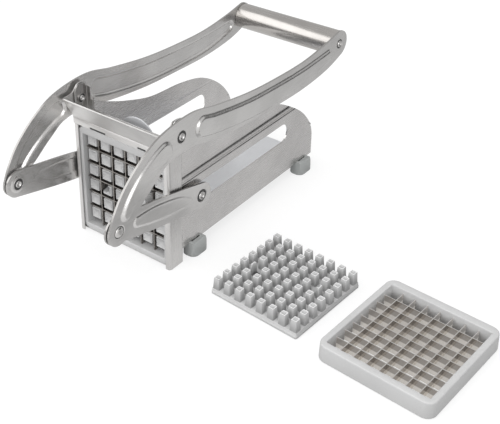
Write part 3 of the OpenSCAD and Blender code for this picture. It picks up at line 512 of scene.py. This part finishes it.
frame_front, opening_z = 5.1, 43.5
loose_frame = (208.0, 18.6)
mounted = surface("mounted_frame", stand_up(frame_ring(), frame_front, opening_z), closed=True)
dress(mounted, grey_plastic, "body", "blade_frame")
loose = surface("loose_frame", lay_down(frame_ring(), *loose_frame), closed=True)
dress(loose, grey_plastic, "spare_frame", "spare_blade_frame").visible_glossy = False
for name, finish in (("upright_blades", shaded_blade_steel), ("level_blades", shaded_blade_steel),
                     ("spare_long_blades", blade_steel), ("spare_cross_blades", blade_steel)):
    recolour(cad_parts[name], finish)


# --- Pushers ------------------------------------------------------------------------------------
# Stepped plates of the same plastic with a square post for each cell, slightly narrower at its
# tip. Two screw holes notch the posts beside them.
plate_size, plate_height = 70.0, 4.4


def plate_rows():
    """The two steps of a pusher plate: outlines of a rounded square at rising heights."""
    steps = [(0.4, 0), (0, 0.4), (0, 1.9), (0.15, 2.15), (0.42, 2.2), (0.42, 4.0), (0.55, 4.3),
             (0.9, plate_height)]
    rows = [at_height(round_box(plate_size - 2 * i, plate_size - 2 * i, 1.2 - i, 3, 2), h) for i, h in steps]
    return np.array([rows[0] * (0, 0, 1)] + rows + [rows[-1] * (0, 0, 1)])


def posts(cells, pitch, root, tip):
    """Square posts with crisp edges on a grid of cells, as one grid of points for each post. Root and
    tip are their widths at the foot and the top, which is dished a little inside a narrow rim."""
    steps = [(root + 0.6, 4.3, 0.6), (root + 0.1, 4.5, 0.4), (root, 4.9, 0.35), (tip, 12.6, 0.3),
             (tip - 0.15, 12.8, 0.3), (tip - 0.45, 12.9, 0.3), (tip - 0.95, 12.88, 0.3),
             (tip - 1.25, 12.55, 0.25), (0.02, 12.5, 0.005)]
    one = np.array([at_height(round_box(width, width, radius, 2, 1), level) for width, level, radius in steps])
    place = (np.arange(cells) - (cells - 1) / 2) * pitch
    x, y = np.meshgrid(place, place, indexing="ij")
    offset = np.stack([x.ravel(), y.ravel(), 0 * x.ravel()], -1)
    return one[None] + offset[:, None, None]


screw_places = ((20.0, 4.5), (-20.0, -4.5))
screw_head_r, screw_hole_r, drill_reach = 3.6, 2.05, 20


def drill(obj, points, radius):
    """Cuts a round hole through a piece along the line between each pair of points."""
    for start, end in points:
        start, end = np.array(start, float) * 0.001, np.array(end, float) * 0.001
        tool = bmesh.new()
        bmesh.ops.create_cone(tool, cap_ends=True, segments=32, radius1=radius * 0.001, radius2=radius * 0.001,
                              depth=np.linalg.norm(end - start))
        mesh = bpy.data.meshes.new("drill")
        tool.to_mesh(mesh)
        tool.free()
        bit = bpy.data.objects.new("drill", mesh)
        scene.collection.objects.link(bit)
        bit.location = (start + end) / 2
        if abs(end[1] - start[1]) > abs(end[2] - start[2]):
            bit.rotation_euler = (np.pi / 2, 0, 0)
        cut = obj.modifiers.new("hole", "BOOLEAN")
        cut.object, cut.operation, cut.solver = bit, "DIFFERENCE", "EXACT"
        bpy.context.view_layer.update()
        result = bpy.data.meshes.new_from_object(obj.evaluated_get(bpy.context.evaluated_depsgraph_get()))
        obj.modifiers.clear()
        obj.data = result
        bpy.data.objects.remove(bit)
    return obj


def join(name, *objs):
    """Makes one piece of several."""
    work = bmesh.new()
    for obj in objs:
        work.from_mesh(obj.data)
        bpy.data.objects.remove(obj)
    mesh = bpy.data.meshes.new(name)
    work.to_mesh(mesh)
    work.free()
    obj = bpy.data.objects.new(name, mesh)
    scene.collection.objects.link(obj)
    return obj


pusher_back, pusher_z = 9.4, 45.2
plate = surface("plate", stand_up(plate_rows(), pusher_back, pusher_z), closed=True)
block = surface("posts", stand_up(posts(6, 12.0, 9.3, 7.9), pusher_back, pusher_z), closed=True)
heads = [((x, pusher_back - plate_height, pusher_z + y), (x, pusher_back - drill_reach, pusher_z + y))
         for x, y in screw_places]
drill(block, heads, screw_head_r)
dress(join("mounted_pusher", plate, block), grey_plastic, "carriage", "pusher_block")

loose_pusher = (115.2, 22.8)
plate = surface("loose_plate", lay_down(plate_rows(), *loose_pusher), closed=True)
block = surface("loose_posts", lay_down(posts(8, 9.0, 5.1, 4.2), *loose_pusher), closed=True)
centres = [lay_down(np.array([x, y, 0.0]), *loose_pusher) for x, y in screw_places]
drill(block, [(c + (0, 0, plate_height), c + (0, 0, drill_reach)) for c in centres], screw_head_r)
drill(plate, [(c - (0, 0, 1), c + (0, 0, 6)) for c in centres], screw_hole_r)
# Less light reaches the feet of the posts, and the rims of their tops catch it
post_plastic = grained("post_plastic", (0.50, 0.50, 0.50), 0.42, (700, 700, 700), bump=0.05, mottle=0.03,
                       metal=0.0)
blend(post_plastic, "Object", "Z", 0.0050, 0.0115, (0.30, 0.30, 0.30))
blend(post_plastic, "Object", "Z", 0.01285, 0.0127, (0.80, 0.80, 0.80))
# The photo joins several shots, so the steel mirrors neither loose piece
for piece, finish in ((plate, grey_plastic), (block, post_plastic)):
    dress(piece, finish, "spare_pusher", "spare_pusher").visible_glossy = False


# --- Carriage -----------------------------------------------------------------------------------
# A folded satin steel plate behind the pusher, with a round tab on top and an arm to each pin. Two
# screws hold the pusher on it, and nylon bushes run in the slots of the walls.
dress(softened_copy("pusher_carriage", 0.25), satin, "carriage", "pusher_carriage")
polished = grained("polished_steel", (0.62, 0.61, 0.60), 0.27, (300, 300, 300), grain=0.05, bump=0.04)
nylon = grained("nylon", (0.72, 0.71, 0.69), 0.45, (400, 400, 400), bump=0.03, mottle=0.02, metal=0.0)
dress(softened_copy("pusher_screws", 0.3), polished, "carriage", "pusher_screws")
dress(softened_copy("slide_bushes", 0.2), nylon, "carriage", "slide_bushes")


# --- Levers -------------------------------------------------------------------------------------
# Two long bent arms pressed from 1.5 mm stainless steel. Each has two raised panels, hollow behind,
# and a shallow dish round each rivet.
arm_half, lever_x, lever_t, panel_up, seat_bore = 11.0, 45.4, 1.5, 1.8, 3.65
crank_r, crank_fall, handle_reach, handle_drop = 73.1, np.radians(32.6), 193.4, 5.2
front_arm = [(1, 0, 0.86), (0.86, 0.072, 0.93), (0.7, 0.108, 1.08), (0.47, 0.127, 1.13), (0.21, 0.102, 1.09)]
rear_arm = [(0.05, 0.004, 1.11), (0.18, -0.02, 1.12), (0.37, -0.042, 1.06), (0.55, -0.048, 1.01),
            (0.74, -0.046, 1.01), (0.9, -0.026, 1.03), (1, 0, 0.955)]
front_dir = np.array([-np.cos(crank_fall), -np.sin(crank_fall)])
front_side = np.array([-np.sin(crank_fall), np.cos(crank_fall)])
handle_l = np.hypot(handle_reach, handle_drop)
rear_dir = np.array([handle_reach, -handle_drop]) / handle_l
rear_side = np.array([handle_drop, handle_reach]) / handle_l
pivot = np.array([0, pivot_z])
lever_rows = np.array([np.append(pivot + length * (a * ahead + b * beside), w * arm_half)
                       for arm, length, ahead, beside in ((front_arm, crank_r, front_dir, front_side),
                                                          (rear_arm, handle_l, rear_dir, rear_side))
                       for a, b, w in arm])
crank = lever_rows[0, :2]
handle = lever_rows[-1, :2]


def band_plan(rows, step, across):
    """Plan of a band with round ends. The sides run along a smooth middle line, and each end is a
    half disc whose grid is bent from a half square, so that no cell shrinks to a point."""
    count = int(np.linalg.norm(np.diff(rows[:, :2], axis=0), axis=1).sum() / step)
    line_points = along(rows, np.linspace(0, len(rows) - 1, count))
    middle, half = line_points[:, :2], line_points[:, 2]
    heading = np.gradient(middle, axis=0)
    heading /= np.linalg.norm(heading, axis=1)[:, None]
    normal = np.stack([-heading[:, 1], heading[:, 0]], -1)
    v = np.linspace(-1, 1, across)
    body = middle[:, None] + (half[:, None] * v)[..., None] * normal[:, None]
    u = np.linspace(0, 1, across // 2)[1:]
    out = u[:, None] * np.sqrt(1 - v ** 2 / 2)
    side = v * np.sqrt(1 - u[:, None] ** 2 / 2)
    first = middle[0] + half[0] * (side[..., None] * normal[0] - out[..., None] * heading[0])
    last = middle[-1] + half[-1] * (side[..., None] * normal[-1] + out[..., None] * heading[-1])
    return np.concatenate([first[::-1], body, last])


def depth_in(plan, rows):
    """How far each point of a plan lies inside a round-ended band, from discs along its middle line."""
    discs = along(rows, np.linspace(0, len(rows) - 1, 90))
    gap = np.linalg.norm(plan[..., None, :] - discs[:, :2], axis=-1)
    return (discs[:, 2] - gap).max(-1)


def ramp(depth, width):
    """Smooth step from 0 at the edge to 1 at the given width inside it."""
    part = np.clip(depth / width, 0, 1)
    return part * part * (3 - 2 * part)


def dish(plan, centre, radius, width):
    """1 over a round rivet seat, falling smoothly to 0 at its edge."""
    return ramp(radius - np.linalg.norm(plan - centre, axis=-1), width)


def seat_holes(plan, *centres):
    """Marks the cells of a band whose middles lie under the rim of a dished rivet."""
    middle = (plan[1:, 1:] + plan[:-1, :-1]) / 2
    return np.min([np.linalg.norm(middle - centre, axis=-1) for centre in centres], axis=0) < seat_bore


def panel_rows(shares):
    """Middle line of a pressed panel, from shares of the lever's own middle line and half width."""
    shares = along(np.array(shares, float), np.linspace(0, len(shares) - 1, 40))
    at = along(lever_rows, shares[:, 0])
    ahead = along(lever_rows, shares[:, 0] + 0.1) - along(lever_rows, shares[:, 0] - 0.1)
    turn = np.arctan2(ahead[:, 1], ahead[:, 0])
    beside = shares[:, 1] * arm_half
    return np.column_stack([at[:, 0] - beside * np.sin(turn), at[:, 1] + beside * np.cos(turn),
                            shares[:, 2] * arm_half])


front_panel = panel_rows([(1.05, -0.07, 0.49), (1.8, 0.0, 0.58), (2.7, 0.0, 0.69), (3.95, -0.16, 0.77)])
rear_panel = panel_rows([(5.5, -0.02, 0.76), (6.8, -0.08, 0.78), (8.1, -0.09, 0.77), (9.2, -0.04, 0.7),
                         (10.1, 0, 0.52)])
plan = band_plan(lever_rows, 0.5, 55)
raised = panel_up * (0.9 * ramp(depth_in(plan, front_panel), 3.2) + ramp(depth_in(plan, rear_panel), 3.0))
seats = sum(dish(plan, centre, 5.2, 1.6) for centre in (crank, pivot))
seats += 0.8 * dish(plan, handle, 4.6, 2.0)
height = lever_x + lever_t + raised - 0.35 * seats
lever_shape = np.concatenate([height[..., None], plan], -1)
holes = seat_holes(plan, pivot)
lever_steel = grained("lever_steel", (0.67, 0.66, 0.65), 0.22, (1200, 90, 1200), grain=0.05, metal=0.86)
# The cut edges get painted shade that dims the highlights they catch; the rolled faces look along X
blend(lever_steel, "Normal", "X", 0.3, 0.7, (0.40, 0.39, 0.38))
for side, name in ((1, "right_lever"), (-1, "left_lever")):
    shape = lever_shape * (side, 1, 1)
    lever = surface(name + "_pressing", shape[:, ::-side], holes[:, ::-side])
    dress(thicken(lever, lever_t, 0.55, 3), lever_steel, "levers", name)


# --- Links --------------------------------------------------------------------------------------
# Short straight arms of 1.4 mm steel between the levers and the sliding pins. Each has a tapered
# panel and a shallow dish round each rivet.
link_x, link_t, link_up, link_half, link_end = 42.8, 1.4, 0.85, 10.6, 9.6
pin = np.array([slot_front, slot_z])
link_ends = np.array([np.append(crank, link_end), np.append((crank + pin) / 2, link_half),
                      np.append(pin, link_end)])
link_side = np.array([crank[1] - pin[1], pin[0] - crank[0]]) / np.linalg.norm(pin - crank)
link_shares = [(0.23, 0.05, 0.43), (0.38, 0.09, 0.6), (0.55, 0.1, 0.64), (0.7, 0.085, 0.57), (0.8, 0, 0.42),
               (0.845, -0.06, 0.34)]
link_panel = np.array([np.append(crank + a * (pin - crank) + b * link_half * link_side, half * link_half)
                       for a, b, half in link_shares])
plan = band_plan(link_ends, 0.5, 49)
seats = dish(plan, crank, 6.2, 1.4) + dish(plan, pin, 5.6, 1.4)
height = link_x + link_t + link_up * ramp(depth_in(plan, link_panel), 2.2) - 0.45 * seats
link_shape = np.concatenate([height[..., None], plan], -1)
holes = seat_holes(plan, crank, pin)
for side, name in ((1, "right_link"), (-1, "left_link")):
    shape = link_shape * (side, 1, 1)
    link = surface(name + "_pressing", shape[:, ::-side], holes[:, ::-side])
    dress(thicken(link, link_t, 0.5, 3), lever_steel, name, name)


# --- Rivets -------------------------------------------------------------------------------------
# Polished steel rivets with dished ends: a hollow, a rolled ring, a groove holding a dark ring of painted
# shade, and a thin lip. The front ones have low domed heads.
def turned(name, profile, centre, side=1, steps=40):
    """A profile of distances along X and radii, turned round an axis along X."""
    profile = np.asarray(profile, float)
    angle = np.linspace(0, 2 * np.pi, steps, endpoint=False)
    shape = np.stack([np.repeat(profile[:, :1], steps, 1), centre[0] + profile[:, 1:] * np.cos(angle),
                      centre[1] + profile[:, 1:] * np.sin(angle)], -1)
    shape = shape * (side, 1, 1)
    return surface(name, shape if side > 0 else shape[:, ::-1], closed=True)


def cup(face, rim):
    """Distances and radii of a dished rivet end, from its middle outwards: a hollow, a rolled ring,
    a groove and a thin lip. The distance of the lip and its radius are given."""
    return [(face - 0.3, 0.01), (face - 0.25, rim * 0.2), (face + 0.1, rim * 0.3), (face + 0.6, rim * 0.4),
            (face + 0.75, rim * 0.47), (face + 0.5, rim * 0.54), (face - 0.5, rim * 0.56),
            (face - 0.5, rim * 0.94), (face - 0.1, rim * 0.95), (face + 0.02, rim * 0.975), (face - 0.1, rim),
            (face - 0.9, rim)]


def groove(rim):
    """Inner and outer radius of the groove in a dished rivet end, from the radius of its lip."""
    return rim * 0.55, rim * 0.945


def groove_shade(name, x, inner, outer, centre, side, body, node_name):
    """A thin dark ring whose outer face is at x: painted shade in the grooves round the rivets.
    Its section is a rectangle between the two radii."""
    ring = turned(name, [(x, outer), (x, inner), (x - 0.3, inner), (x - 0.3, outer), (x, outer)], centre, side)
    dress(ring, dark_plastic, body, node_name)


def dome(face, rim, rise):
    """Distances and radii of a low domed head on a face, from its middle outwards."""
    bow = np.linspace(0, 1, 8)
    return [(face + rise * (1 - r ** 3.2), max(r * rim, 0.01)) for r in bow] + [(face - 0.9, rim)]


def mirrored_end(profile):
    """The same profile for the other end of a shank: order and direction are turned round."""
    return [(-x, r) for x, r in profile][::-1]


shank, pivot_rim, ear_rim, tail_rim, slide_rim, handle_rim = 3.1, 4.6, 3.4, 4.2, 5.2, 4.6
for side, word in ((1, "right"), (-1, "left")):
    profile = mirrored_end(cup(-40.35, ear_rim)) + [(42, shank)] + cup(46.8, pivot_rim)[::-1]
    rivet = turned(word + "_pivot_rivet", profile, pivot, side)
    dress(rivet, polished, "body", "pivot_rivets")
    profile = [(44.5, 0.01), (44.5, shank)] + dome(46.7, 3.8, 1.1)[::-1]
    rivet = turned(word + "_front_rivet", profile, crank, side)
    dress(rivet, polished, "levers", "crank_rivets")
    profile = mirrored_end(cup(-42.1, tail_rim)) + [(43.2, shank), (44.2, shank), (44.2, 0.01)]
    rivet = turned(word + "_link_tail", profile, crank, side)
    dress(rivet, polished, word + "_link", word + "_link_rivet")
    profile = [(36.6, 0.01), (36.6, 4.6), (37.3, 4.7), (37.3, shank)] + cup(44.0, slide_rim)[::-1]
    rivet = turned(word + "_slide_pin", profile, pin, side)
    dress(rivet, polished, "carriage", "slide_pins")
    groove_shade(word + "_pivot_groove", 46.7, *groove(pivot_rim), pivot, side, "body", "pivot_rivets")
    groove_shade(word + "_ear_groove", 41.0, *groove(ear_rim), pivot, side, "body", "pivot_rivets")
    groove_shade(word + "_slide_groove", 43.9, *groove(slide_rim), pin, side, "carriage", "slide_pins")
    groove_shade(word + "_tail_groove", 42.6, *groove(tail_rim), crank, side, word + "_link", word + "_link_rivet")
    groove_shade(word + "_front_groove", 46.7, 3.7, 4.25, crank, side, "levers", "crank_rivets")
for name in ("pivot_washers", "crank_washers"):
    recolour(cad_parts[name], polished)


# --- Handle -------------------------------------------------------------------------------------
# A stainless tube between the levers, held by a rod that is riveted over outside them. Plugs inside
# the tube centre the rod.
tube_r, tube_t = 10.0, 1.2
tube_steel = grained("tube_steel", (0.52, 0.50, 0.48), 0.24, (40, 1500, 1500), bump=0.1)
ends = [(-lever_x, tube_r - 0.5), (-45.2, tube_r - 0.15), (-44.8, tube_r), (44.8, tube_r),
        (45.2, tube_r - 0.15), (lever_x, tube_r - 0.5)]
tube_profile = ends + [(lever_x, tube_r - tube_t), (-lever_x, tube_r - tube_t), ends[0]]
tube = turned("tube", tube_profile[::-1], handle, 1, 72)
dress(tube, tube_steel, "levers", "handle_tube")
for side, word in ((1, "right"), (-1, "left")):
    cap = turned(word + "_handle_rivet", [(1, 0.01), (1, 3.0)] + cup(47.0, handle_rim)[::-1], handle, side)
    dress(cap, polished, "levers", "handle_rod")
    groove_shade(word + "_handle_groove", 46.78, *groove(handle_rim), handle, side, "levers", "handle_rod")
recolour(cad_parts["handle_plugs"], dark_plastic)
